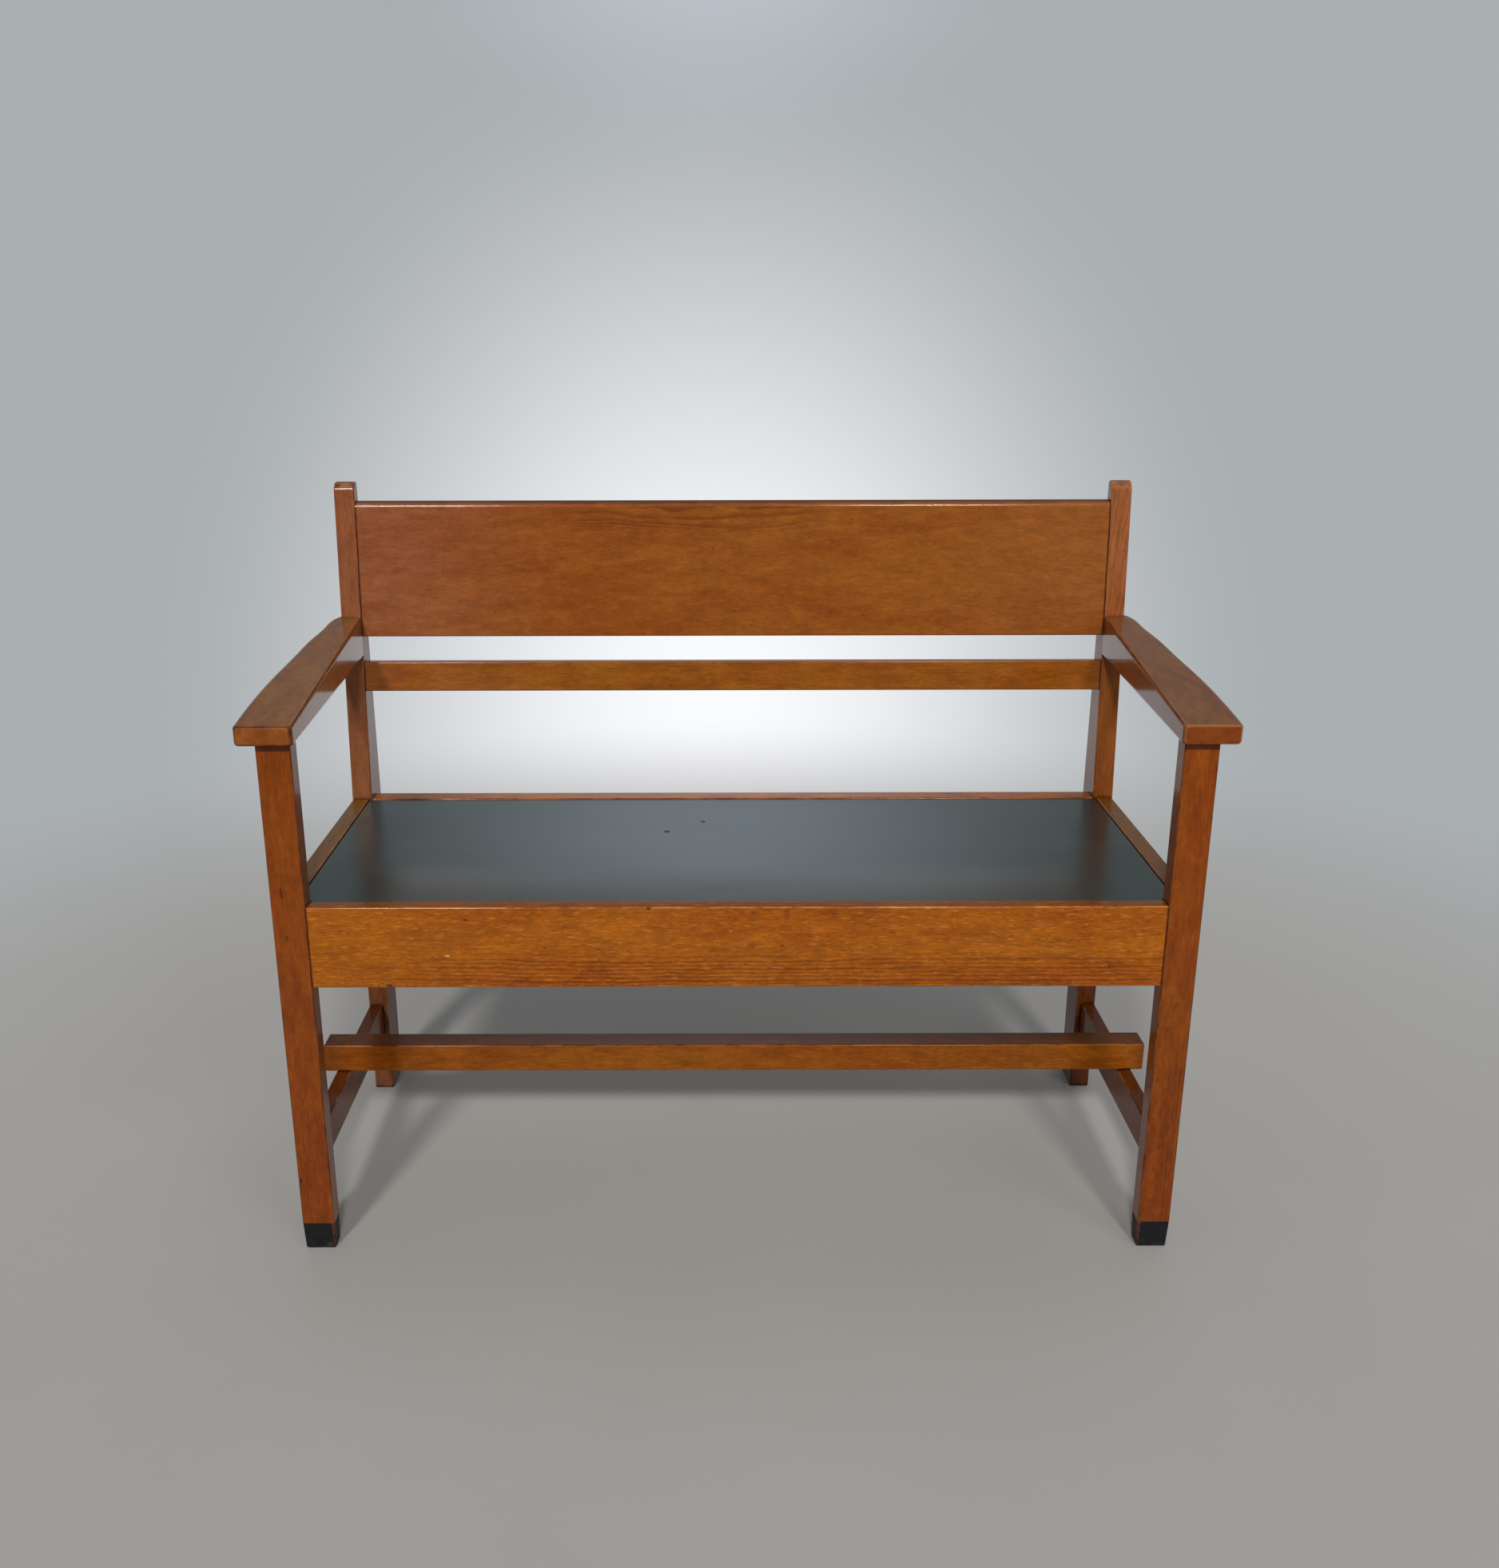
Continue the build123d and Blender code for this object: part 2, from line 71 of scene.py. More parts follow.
class Graph:
    """A new material or a world, with short calls that add nodes and give back their outputs."""

    def __init__(self, name, owner=None):
        self.owner = owner or bpy.data.materials.new(name)
        self.owner.use_nodes = True
        self.tree = self.owner.node_tree
        self.tree.nodes.clear()

    def add(self, kind, inputs=None, **settings):
        """A node with its settings, whose inputs are other nodes' outputs or values."""
        node = self.tree.nodes.new("ShaderNode" + kind)
        for key, value in settings.items():
            setattr(node, key, value)
        for key, value in (inputs or {}).items():
            if isinstance(value, bpy.types.NodeSocket):
                self.tree.links.new(value, node.inputs[key])
            else:
                node.inputs[key].default_value = value
        return node

    def place(self):
        """Where a point is in the settle's frame."""
        return self.add("TexCoord").outputs["Object"]

    def facing(self):
        """Which way the surface faces in the settle's frame."""
        return self.add("TexCoord").outputs["Normal"]

    def parts(self, vector):
        """The X, Y and Z of a vector."""
        return self.add("SeparateXYZ", {0: vector}).outputs

    def math(self, operation, first, second=0.0, clamp=False):
        node = self.add("Math", {0: first, 1: second}, operation=operation, use_clamp=clamp)
        return node.outputs[0]

    def times(self, first, second):
        return self.math("MULTIPLY", first, second)

    def plus(self, base, value, scale=1.0):
        """A base and a scaled value, added up."""
        return self.add("Math", {0: value, 1: scale, 2: base}, operation="MULTIPLY_ADD").outputs[0]

    def vector(self, operation, first, second=(0.0, 0.0, 0.0)):
        return self.add("VectorMath", {0: first, 1: second}, operation=operation).outputs[0]

    def length(self, vector):
        return self.add("VectorMath", {0: vector}, operation="LENGTH").outputs["Value"]

    def away(self, place, middle, reach):
        """How far a place is from a middle, where 1 is the reach along each axis."""
        return self.length(self.vector("DIVIDE", self.vector("SUBTRACT", place, middle), reach))

    def noise(self, point, scale, detail=2.0, roughness=0.5):
        """Noise with its own scale along each axis of a point."""
        stretched = self.vector("MULTIPLY", point, scale)
        inputs = {"Vector": stretched, "Scale": 1.0, "Detail": detail, "Roughness": roughness}
        return self.add("TexNoise", inputs).outputs["Fac"]

    def step(self, value, low, high, to_low=0.0, to_high=1.0):
        """A smooth step of a value between two levels."""
        inputs = {"Value": value, "From Min": low, "From Max": high, "To Min": to_low, "To Max": to_high}
        return self.add("MapRange", inputs, interpolation_type="SMOOTHSTEP").outputs["Result"]

    def corner(self, open_share, closed_share):
        """1 in the corners between pieces, and 0 in the open."""
        around = self.add("AmbientOcclusion", {"Distance": CORNER_REACH}, samples=CORNER_SAMPLES)
        return self.step(around.outputs["AO"], open_share, closed_share)

    def grey(self, value):
        """A grey of one level."""
        return self.add("CombineColor", {0: value, 1: value, 2: value}).outputs[0]

    def ramp(self, value, stops):
        """A grey ramp through (place, level) stops."""
        node = self.add("ValToRGB", {0: value})
        points = node.color_ramp.elements
        while len(points) < len(stops):
            points.new(0.5)
        for point, (place, level) in zip(points, stops):
            point.position = place
            point.color = (level, level, level, 1.0)
        return node.outputs["Color"]

    def mix(self, share, first, second, blend="MIX"):
        """Two colours, with a share of the second."""
        inputs = {0: share, 6: first, 7: second}
        return self.add("Mix", inputs, data_type="RGBA", blend_type=blend).outputs[2]

    def shift(self, share, colour, by):
        """A colour, times another where the share is 1."""
        return self.mix(share, colour, by, "MULTIPLY")

    def finish(self, colour, roughness, height, relief, **fixed):
        """The shader, from a colour, a roughness and a height that counts in units of the relief."""
        normal = self.add("Bump", {"Height": height, "Strength": 1.0, "Distance": relief})
        inputs = {"Base Color": colour, "Roughness": roughness, "Normal": normal.outputs[0]}
        inputs.update({key.replace("_", " "): value for key, value in fixed.items()})
        shader = self.add("BsdfPrincipled", inputs)
        self.add("OutputMaterial", {"Surface": shader.outputs[0]})
        return self.owner


# Oak

PALE_CURL = srgb(204, 136, 66)
GOLD_FLECK = srgb(200, 124, 44)
WORN = srgb(206, 144, 84)
# A painted grey reflection on the ends of some boards
HAZE_REFLECTION = srgb(158, 146, 150)
KNOT = srgb(62, 24, 10)
STAIN = srgb(112, 40, 16)
PALE_MARK = srgb(226, 184, 140)

# What the oak's colour is multiplied by
RED_SHIFT = (0.96, 0.86, 0.80, 1.0)
GOLD_SHIFT = (1.05, 1.13, 1.20, 1.0)
LINE_SHIFT = (0.60, 0.48, 0.40, 1.0)
DOT_SHIFT = (0.46, 0.34, 0.30, 1.0)
# What a painted dark reflection along the edges multiplies the oak by
EDGE_DARK_REFLECTION_SHIFT = (0.42, 0.32, 0.28, 1.0)
# What the painted shade in corners, the dark joint lines and the darkening near the floor multiply the
# oak by
SHADE_AND_GRIME_SHIFT = (0.16, 0.10, 0.08, 1.0)
# Painted shade and painted grey sheen on the faces that look up, for all boards and for some kinds
TOP_SHADE_SHEEN_SHIFT = (0.66, 0.66, 0.80, 1.0)
LEFT_ARM_TOP_SHADE_SHEEN_SHIFT = (0.80, 0.95, 1.4, 1.0)
RIGHT_ARM_TOP_SHADE_SHEEN_SHIFT = (0.89, 1.34, 3.1, 1.0)
PANEL_TOP_SHADE_SHIFT = (0.16, 0.14, 0.18, 1.0)
BACK_RAIL_TOP_SHEEN_SHIFT = (0.98, 1.0, 1.3, 1.0)
SIDE_RAIL_TOP_SHADE_SHEEN_SHIFT = (0.48, 0.64, 0.95, 1.0)
STRETCHER_TOP_SHADE_SHIFT = (0.46, 0.46, 0.60, 1.0)

OAK_RELIEF = 0.00018
OAK_ROUGHNESS = 0.34
VARNISH = dict(Coat_IOR=1.27, Specular_IOR_Level=0.06)
# How far the painted grey reflection reaches from a board's end
HAZE_REFLECTION_REACH = 0.32
END_REACH = 0.010
JOINT_LINE = 0.0024
MARK_DEPTH = 0.004
# How high above the floor the wood is darkened, and how unevenly
FOOT_DARK_HEIGHT = 0.009
FOOT_DARK_WAVER = 0.006
SEED_STEP = 7.31

# How dark a growth ring is at each share of its width
RING_SHADES = ((0.0, 0.80), (0.12, 1.0), (0.34, 0.45), (0.60, 0.10), (0.86, 0.0), (1.0, 0.80))

# The unevenness of the grain: changes per metre along it and across it, detail, roughness, and
# for some kinds a move that sets their pattern apart
GRAIN = {
    "hue": (5.0, 16.0, 3.0, 0.55),
    "cloud": (20.0, 62.0, 3.0, 0.6),
    "streak": (28.0, 200.0, 3.0, 0.6),
    "fibre": (105.0, 560.0, 3.0, 0.65),
    "blotch": (75.0, 110.0, 3.0, 0.6, (2.2, 0.6, 1.9)),
    "pore": (75.0, 400.0, 2.0, 0.6),
    "dot": (170.0, 420.0, 1.0, 0.5, (3.1, 1.7, 0.9)),
    "fleck": (62.0, 330.0, 2.0, 0.6, (1.3, 4.1, 2.2)),
    "curl": (26.0, 150.0, 2.0, 0.6, (0.4, 2.3, 1.1)),
    "curl_patch": (30.0, 70.0, 2.0, 0.5),
    "line_patch": (3.5, 22.0, 1.0, 0.5),
    "line_bend": (2.2, 8.0, 2.0, 0.5),
    "line_waver": (22.0, 90.0, 2.0, 0.5),
    "rub": (26.0, 80.0, 4.0, 0.65),
    "ragged": (260.0, 420.0, 2.0, 0.6),
    "ripple": (50.0, 70.0, 2.0, 0.55, (1.9, 3.3, 0.2)),
}

# What a board looks like unless it says otherwise. pith is where the rings' middle is, across the
# board and into it, pitch the width of a ring and wander how far the rings stray. lines is the
# strength of these growth lines, and field is (middle along, reach, middle across, reach, strength)
# of a stronger patch of them. lean turns the colour to gold along the board, and hues is how far
# its patches differ. clouds, streaks, fibres and blotches are its light and dark, from coarse to
# fine and from long to round, and flecks, pores and curls are its small marks of the grain.
# edge_reach is how wide a square board's edges are, edge_dark how strongly a painted dark reflection
# lines its edges and edge_worn how they are worn, and end_worn the wear round the front end. top
# shifts what faces up with painted shade and sheen, joint is how far from the middle the next board
# meets it, ends give painted light and shade towards its two ends, the haze reflection is a painted
# grey reflection that fades from them, and marks are (along, across, half length, half width,
# strength, colour). haze dulls the wood and coat_rough the varnish, coat is how much varnish there
# is, ripple how uneven it lies, and foot darkens the wood up to an uneven height above the floor.
OAK = dict(lines=0.25, field=None, pith=(0.03, 0.06), pitch=0.0030, wander=0.020, lean=0.0, hues=1.0,
           clouds=0.12, streaks=0.08, fibres=0.13, blotches=0.06, flecks=0.15, pores=0.6, curls=0.12,
           edge_reach=0.0022, edge_dark=0.5, edge_worn=0.3, end_worn=0.0, square=True, top=TOP_SHADE_SHEEN_SHIFT,
           joint=None, ends=(1.0, 1.0), haze_reflection=(0.0, 0.0), marks=(), haze=0.0, coat=1.0, coat_rough=0.12,
           ripple=0.9, foot=False)


class Board:
    """A board's own coordinates: along the grain, across its face and into its depth."""

    def __init__(self, graph, node, axes, seed):
        low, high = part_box(node)
        self.graph = graph
        self.half = [((high - low) / 2)[axis] for axis in axes]
        place = graph.place()
        self.height = graph.parts(place)[Z]
        centred = graph.parts(graph.vector("SUBTRACT", place, (low + high) / 2))
        self.along, self.across, self.deep = (centred[axis] for axis in axes)
        self.point = graph.add("CombineXYZ", {0: self.along, 1: self.across, 2: self.deep}).outputs[0]
        shift = seed * SEED_STEP
        self.shifted = graph.vector("ADD", self.point, (shift, shift / 2, shift / 3))
        self.made = {}

    def noise(self, kind):
        """One kind of unevenness of the grain, made once for the board."""
        if kind not in self.made:
            along, across, detail, roughness, *move = GRAIN[kind]
            place = self.graph.vector("ADD", self.shifted, *move) if move else self.shifted
            self.made[kind] = self.graph.noise(place, (along, across, across), detail, roughness)
        return self.made[kind]


def growth_lines(graph, board, pith, pitch, wander):
    """How dark each place is from the growth rings round a pith that is off the board."""
    parts = graph.parts(graph.vector("SUBTRACT", board.point, (0.0, *pith)))
    across = graph.math("POWER", parts[1], 2.0)
    deep = graph.math("POWER", parts[2], 2.0)
    radius = graph.math("SQRT", graph.math("ADD", across, deep))
    radius = graph.plus(radius, board.noise("line_bend"), wander)
    radius = graph.plus(radius, board.noise("line_waver"), pitch * 1.2)
    turns = graph.math("DIVIDE", radius, pitch)
    uneven = graph.add("TexNoise", {"W": graph.times(turns, 0.45), "Scale": 1.0},
                       noise_dimensions="1D").outputs["Fac"]
    phase = graph.math("FRACT", graph.plus(turns, uneven, 1.3))
    return graph.ramp(phase, RING_SHADES)


def window(graph, value, middle, reach):
    """1 at a place along one coordinate, and a smooth fall to 0 at its reach."""
    away = graph.math("ABSOLUTE", graph.math("SUBTRACT", value, middle))
    return graph.step(away, reach, reach * 0.45)


def line_share(graph, board, look):
    """Where the growth lines show, and how strongly."""
    lines = growth_lines(graph, board, look["pith"], look["pitch"], look["wander"])
    strength = graph.step(board.noise("line_patch"), 0.40, 0.68, 0.0, look["lines"])
    if look["field"]:
        middle, reach, across, across_reach, field_strength = look["field"]
        held = graph.times(window(graph, board.along, middle, reach),
                           window(graph, board.across, across, across_reach))
        strength = graph.math("MAXIMUM", strength, graph.times(held, field_strength))
    return graph.times(lines, strength)


def pore_share(graph, board, look):
    """Where the pores are: close in some patches and few in others."""
    dense = graph.step(board.noise("hue"), 0.35, 0.65, 0.6 * look["pores"], 0.25 * look["pores"])
    return graph.times(graph.step(board.noise("pore"), 0.60, 0.74), dense)


def ground_tone(graph, board, colour, look):
    """Red-brown to golden in soft patches, with painted light and shade towards the board's ends."""
    hue = graph.plus(graph.times(board.noise("hue"), 0.7), board.noise("cloud"), 0.3)
    if look["lean"]:
        hue = graph.plus(hue, board.along, look["lean"])
    base = srgb(*colour)
    red, gold = (tuple(value * (1.0 + (part - 1.0) * look["hues"]) for value, part in zip(base, by))
                 for by in (RED_SHIFT, GOLD_SHIFT))
    tone = graph.mix(graph.step(hue, 0.36, 0.64), red, gold)
    # Painted shade and light along the board, from the level at its low end to that at its other end
    if look["ends"] != OAK["ends"]:
        level = graph.step(board.along, -board.half[0], board.half[0], *look["ends"])
        tone = graph.shift(1.0, tone, graph.grey(level))
    return tone


def fibre_shade(graph, board, look):
    """Light and dark along the fibres, at four sizes."""
    levels = []
    for kind, reach in (("cloud", look["clouds"]), ("streak", look["streaks"]),
                        ("fibre", look["fibres"]), ("blotch", look["blotches"])):
        levels.append(graph.step(board.noise(kind), 0.28, 0.72, 1.0 - reach, 1.0 + reach))
    shade = levels[0]
    for level in levels[1:]:
        shade = graph.times(shade, level)
    return graph.grey(shade)


def grained(graph, board, tone, look, lines, pores):
    """The tone with its golden flecks, growth lines, pores, dark dots and thin pale curls."""
    flecks = graph.times(graph.step(board.noise("fleck"), 0.56, 0.72), look["flecks"])
    tone = graph.mix(flecks, tone, GOLD_FLECK)
    tone = graph.shift(lines, tone, LINE_SHIFT)
    tone = graph.shift(pores, tone, LINE_SHIFT)
    dots = graph.times(graph.step(board.noise("dot"), 0.69, 0.80), 0.8)
    tone = graph.shift(dots, tone, DOT_SHIFT)
    rim = graph.math("ABSOLUTE", graph.math("SUBTRACT", board.noise("curl"), 0.54))
    sparse = graph.step(board.noise("curl_patch"), 0.52, 0.66, 0.0, look["curls"])
    return graph.mix(graph.times(graph.step(rim, 0.022, 0.003), sparse), tone, PALE_CURL)


def marked(graph, board, tone, marks):
    """The tone with each mark on the board's front: a knot, a stain or a pale scratch."""
    if not marks:
        return tone
    ragged = graph.math("SUBTRACT", board.noise("ragged"), 0.5)
    for along, across, half_length, half_width, strength, colour in marks:
        middle = (along, across, -board.half[2])
        away = graph.away(board.point, middle, (half_length, half_width, MARK_DEPTH))
        share = graph.step(graph.plus(away, ragged, 1.6), 1.1, 0.4)
        tone = graph.mix(graph.times(share, strength), tone, colour)
    return tone


def with_haze_reflection(graph, board, tone, haze_reflection):
    """The tone with a painted grey reflection that fades from the board's ends."""
    for strength, side in zip(haze_reflection, (-1.0, 1.0)):
        if strength:
            end = side * board.half[0]
            near = graph.step(board.along, end - side * HAZE_REFLECTION_REACH, end, 0.0, strength)
            patchy = graph.step(board.noise("cloud"), 0.2, 0.8, 0.6, 1.4)
            tone = graph.mix(graph.times(near, patchy), tone, HAZE_REFLECTION)
    return tone


def edge_share(graph, board, square, reach):
    """1 on a square board's long edges, or wherever a shaped board's surface turns a corner."""
    if square:
        gaps = [graph.math("SUBTRACT", half, graph.math("ABSOLUTE", part))
                for half, part in ((board.half[1], board.across), (board.half[2], board.deep))]
        return graph.step(graph.math("MAXIMUM", *gaps), reach, reach * 0.35)
    parts = graph.parts(graph.vector("ABSOLUTE", graph.facing()))
    flat = graph.math("MAXIMUM", graph.math("MAXIMUM", parts[0], parts[1]), parts[2])
    return graph.step(flat, 0.955, 0.86)


def worn_share(graph, board, look, edge):
    """Where the edges are rubbed pale, most of all round a worn front end."""
    rub = graph.step(board.noise("rub"), 0.42, 0.58, 0.0, look["edge_worn"])
    if look["end_worn"]:
        front = -board.half[0]
        end = graph.step(board.along, front + END_REACH, front + END_REACH / 2, 0.0, look["end_worn"])
        rub = graph.math("MAXIMUM", rub, graph.times(end, graph.step(board.noise("cloud"), 0.3, 0.55)))
    return graph.times(edge, rub)


def corner_shade_and_joint_line(graph, board, joint):
    """Painted shade in the corners between boards, and a dark fine line where a board meets the next."""
    shade_and_line = graph.corner(0.84, 0.45)
    if joint:
        from_middle = graph.math("ABSOLUTE", board.along)
        line = graph.step(from_middle, joint - JOINT_LINE, joint - JOINT_LINE / 4)
        shade_and_line = graph.math("MAXIMUM", shade_and_line, line)
    return graph.times(shade_and_line, 0.85)


def darker_near_floor(graph, board):
    """Darker up to an uneven height above the floor."""
    height = graph.plus(board.height, board.noise("cloud"), FOOT_DARK_WAVER)
    return graph.times(graph.step(height, FOOT_DARK_HEIGHT, FOOT_DARK_HEIGHT / 3), 0.8)


def oak(node, axes, seed, colour, changes):
    """Varnished oak for one board, whose axes run along the grain, across the face and into it."""
    look = {**OAK, **changes}
    graph = Graph("oak_" + node)
    board = Board(graph, node, axes, seed)
    lines = line_share(graph, board, look)
    pores = pore_share(graph, board, look)

    tone = ground_tone(graph, board, colour, look)
    tone = graph.shift(1.0, tone, fibre_shade(graph, board, look))
    tone = grained(graph, board, tone, look, lines, pores)
    up = graph.parts(graph.facing())[Z]
    # Painted shade and painted sheen on the faces that look up
    tone = graph.shift(graph.step(up, 0.55, 0.95), tone, look["top"])
    tone = marked(graph, board, tone, look["marks"])
    # Painted grey reflection fading from the board's ends
    tone = with_haze_reflection(graph, board, tone, look["haze_reflection"])

    edge = edge_share(graph, board, look["square"], look["edge_reach"])
    # Dark lines painted along the edges as a painted dark reflection
    tone = graph.shift(graph.times(edge, look["edge_dark"]), tone, EDGE_DARK_REFLECTION_SHIFT)
    worn = worn_share(graph, board, look, edge)
    tone = graph.mix(worn, tone, WORN)
    # Painted shade in the corners between boards, and the dark joint lines
    tone = graph.shift(corner_shade_and_joint_line(graph, board, look["joint"]), tone, SHADE_AND_GRIME_SHIFT)
    # Darker up to an uneven height above the floor
    if look["foot"]:
        tone = graph.shift(darker_near_floor(graph, board), tone, SHADE_AND_GRIME_SHIFT)

    rough = graph.plus(OAK_ROUGHNESS + look["haze"], board.noise("cloud"), 0.18)
    rough = graph.plus(rough, pores, 0.2)
    rough = graph.plus(rough, worn, 0.3)
    height = graph.times(board.noise("fibre"), 0.3)
    height = graph.plus(height, pores, -1.0)
    height = graph.plus(height, lines, -0.5)
    height = graph.plus(height, board.noise("cloud"), 2.0)
    height = graph.plus(height, board.noise("ripple"), look["ripple"])
    return graph.finish(tone, rough, height, OAK_RELIEF, Coat_Weight=look["coat"],
                        Coat_Roughness=look["coat_rough"], **VARNISH)


# The axes of a board along the grain, across its face and into it
LEVEL = (X, Z, Y)
UPRIGHT = (Z, X, Y)
RAKED = (Z, Y, X)
SIDEWAYS = (Y, Z, X)
FLAT = (Y, X, Z)

RAIL = (150, 80, 6)
PANEL = (137, 73, 16)
SLAT = (138, 76, 12)
LEG = (124, 58, 6)
# The left post's colour holds a painted lilac-grey reflection besides the oak's own tone
LEFT_POST_WITH_HAZE = (127, 72, 41)
RIGHT_POST = (120, 62, 18)
LEFT_ARM = (134, 75, 24)
RIGHT_ARM = (122, 58, 12)
STRETCHER = (128, 68, 10)
SIDE_STRETCHER = (106, 50, 8)

RAIL_MARKS = (
    (-0.4065, -0.0485, 0.0045, 0.0035, 0.9, KNOT),
    (-0.337, -0.0097, 0.0045, 0.0016, 0.5, PALE_MARK),
    (-0.313, 0.0353, 0.0035, 0.0018, 0.8, KNOT),
    (-0.102, 0.0490, 0.0035, 0.0025, 0.9, KNOT),
    (0.053, 0.0023, 0.0045, 0.0020, 0.6, KNOT),
    (0.0572, 0.0405, 0.0055, 0.0100, 0.5, STAIN),
    (0.105, 0.0440, 0.0130, 0.0040, 0.45, STAIN),
    (0.434, -0.0250, 0.0020, 0.0045, 0.6, KNOT),
)
PANEL_MARKS = (
    (0.478, -0.0275, 0.0260, 0.0009, 0.9, KNOT),
    (-0.221, -0.0070, 0.0080, 0.0012, 0.4, PALE_MARK),
    (-0.325, -0.0560, 0.0030, 0.0014, 0.7, KNOT),
)
LEFT_LEG_MARKS = (
    (0.145, -0.0060, 0.0110, 0.0022, 0.8, KNOT),
    (0.091, -0.0050, 0.0045, 0.0022, 0.6, KNOT),
    (-0.232, -0.0165, 0.0050, 0.0022, 0.8, KNOT),
)

LEG_LOOK = dict(lines=0.4, edge_dark=0.75, edge_worn=0.12, fibres=0.10, blotches=0.10, curls=0.05)
POST_LOOK = dict(square=False, foot=True, fibres=0.09, pores=0.4, curls=0.05)
ARM_LOOK = dict(lines=0.12, square=False, haze=0.05, streaks=0.05, fibres=0.04, flecks=0.03,
                pores=0.25, curls=0.0, ripple=1.8)

# The axes, the colour and the changed looks of each board. The order seeds the grain.
BOARDS = {
    "front_rail": (LEVEL, RAIL, dict(
        field=(0.08, 0.66, -0.036, 0.036, 1.0), pith=(0.034, 0.050), pitch=0.0038, wander=0.012,
        fibres=0.20, blotches=0.09, flecks=0.55, pores=1.0, curls=0.28, edge_reach=0.0017,
        edge_dark=0.2, edge_worn=0.6, joint=LEG_INNER, marks=RAIL_MARKS, ripple=4.5)),
    "back_rail": (LEVEL, RAIL, dict(
        clouds=0.25, edge_dark=0.9, edge_worn=0.25, top=BACK_RAIL_TOP_SHEEN_SHIFT, joint=POST_INNER)),
    "back_panel": (LEVEL, PANEL, dict(
        lines=0.10, field=(-0.06, 0.22, 0.072, 0.024, 0.8), pith=(-0.015, 0.085), pitch=0.0044,
        wander=0.045, lean=0.25, hues=1.1, clouds=0.08, streaks=0.05, fibres=0.11, blotches=0.09,
        flecks=0.12, curls=0.08, top=PANEL_TOP_SHADE_SHIFT, joint=POST_INNER, haze_reflection=(0.075, 0.02),
        marks=PANEL_MARKS, coat_rough=0.10, ripple=4.8)),
    "back_slat": (LEVEL, SLAT, dict(pith=(0.05, 0.04), joint=POST_INNER, haze_reflection=(0.03, 0.0))),
    "long_stretcher": (LEVEL, STRETCHER, dict(
        pith=(0.03, 0.03), edge_worn=0.2, top=STRETCHER_TOP_SHADE_SHIFT, coat=0.6)),
    "front_leg_left": (UPRIGHT, LEG, dict(
        LEG_LOOK, pith=(0.05, 0.02), pitch=0.0046, flecks=0.08, ends=(0.92, 1.0), marks=LEFT_LEG_MARKS)),
    "front_leg_right": (UPRIGHT, LEG, dict(
        LEG_LOOK, pith=(-0.04, 0.03), pitch=0.0042, flecks=0.10, ends=(0.86, 1.08))),
    "rear_post_left": (RAKED, LEFT_POST_WITH_HAZE, dict(
        POST_LOOK, pith=(0.06, 0.03), flecks=0.08, ends=(0.80, 1.08))),
    "rear_post_right": (RAKED, RIGHT_POST, dict(
        POST_LOOK, lines=0.5, field=(0.40, 0.30, 0.0, 0.40, 0.6), pith=(-0.05, 0.04), pitch=0.0042,
        lean=1.0, flecks=0.10, ends=(0.56, 1.66), haze_reflection=(0.0, 0.07))),
    "side_rail_left": (SIDEWAYS, RAIL, dict(top=SIDE_RAIL_TOP_SHADE_SHEEN_SHIFT)),
    "side_rail_right": (SIDEWAYS, RAIL, dict(top=SIDE_RAIL_TOP_SHADE_SHEEN_SHIFT)),
    "side_stretcher_left": (SIDEWAYS, SIDE_STRETCHER, dict(coat=0.7)),
    "side_stretcher_right": (SIDEWAYS, SIDE_STRETCHER, dict(coat=0.7)),
    "arm_left": (FLAT, LEFT_ARM, dict(
        ARM_LOOK, pith=(0.03, -0.05), clouds=0.14, blotches=0.12, edge_dark=0.95, edge_worn=0.08,
        top=LEFT_ARM_TOP_SHADE_SHEEN_SHIFT)),
    "arm_right": (FLAT, RIGHT_ARM, dict(
        ARM_LOOK, pith=(-0.03, -0.05), blotches=0.11, edge_dark=0.85, edge_worn=0.14, end_worn=0.3,
        top=RIGHT_ARM_TOP_SHADE_SHEEN_SHIFT)),
}


# Unvarnished wood under the seat

DEAL = srgb(190, 156, 112)
BEECH = srgb(200, 164, 120)
BARE_DARK = srgb(142, 102, 62)
BARE_RELIEF = 0.00025

# Changes per metre across the fine and the coarse grain, along the coarse one, and along the
# fine one of long and of short pieces
BARE_FINE = 420.0
BARE_COARSE = 26.0
BARE_COARSE_ALONG = 1.5
LONG_ALONG = 9.0
SHORT_ALONG = 14.0


def bare_wood(name, base, along, fine_along):
    """Plain unvarnished wood whose grain runs along one axis."""
    graph = Graph(name)
    place = graph.place()
    fine_scale = [BARE_FINE] * 3
    fine_scale[along] = fine_along
    coarse_scale = [BARE_COARSE] * 3
    coarse_scale[along] = BARE_COARSE_ALONG
    fine = graph.noise(place, fine_scale, 4.0, 0.6)
    coarse = graph.noise(place, coarse_scale, 3.0)
    colour = graph.mix(graph.step(coarse, 0.35, 0.7), base, BARE_DARK)
    colour = graph.mix(graph.times(graph.step(fine, 0.45, 0.75), 0.45), colour, BARE_DARK)
    return graph.finish(colour, graph.plus(0.62, fine, 0.2), fine, BARE_RELIEF)


# Seat covering

SEAT_GREEN = srgb(22, 38, 34)
SEAT_GREEN_PALE = srgb(30, 46, 43)
SEAT_FADED = srgb(56, 66, 62)
# The paler, bluer colour of a painted sheen in the middle of the seat
SEAT_PAINTED_SHEEN = srgb(50, 63, 67)
SEAT_NICK = srgb(6, 8, 8)
# Painted shade where the covering meets the rails
SEAT_CORNER_SHADE = srgb(10, 10, 10)
# Where the painted sheen lies on the seat and how far it reaches
SEAT_SHEEN_MIDDLE = (0.0, -0.06, SEAT_TOP)
SEAT_SHEEN_REACH = (0.47, 0.34, 1.0)
SEAT_RELIEF = 0.0004

# Where the two nicks are, across and back, and how wide
SEAT_NICKS = ((-0.0415, 0.0843, 0.0040), (-0.0888, 0.0438, 0.0048))


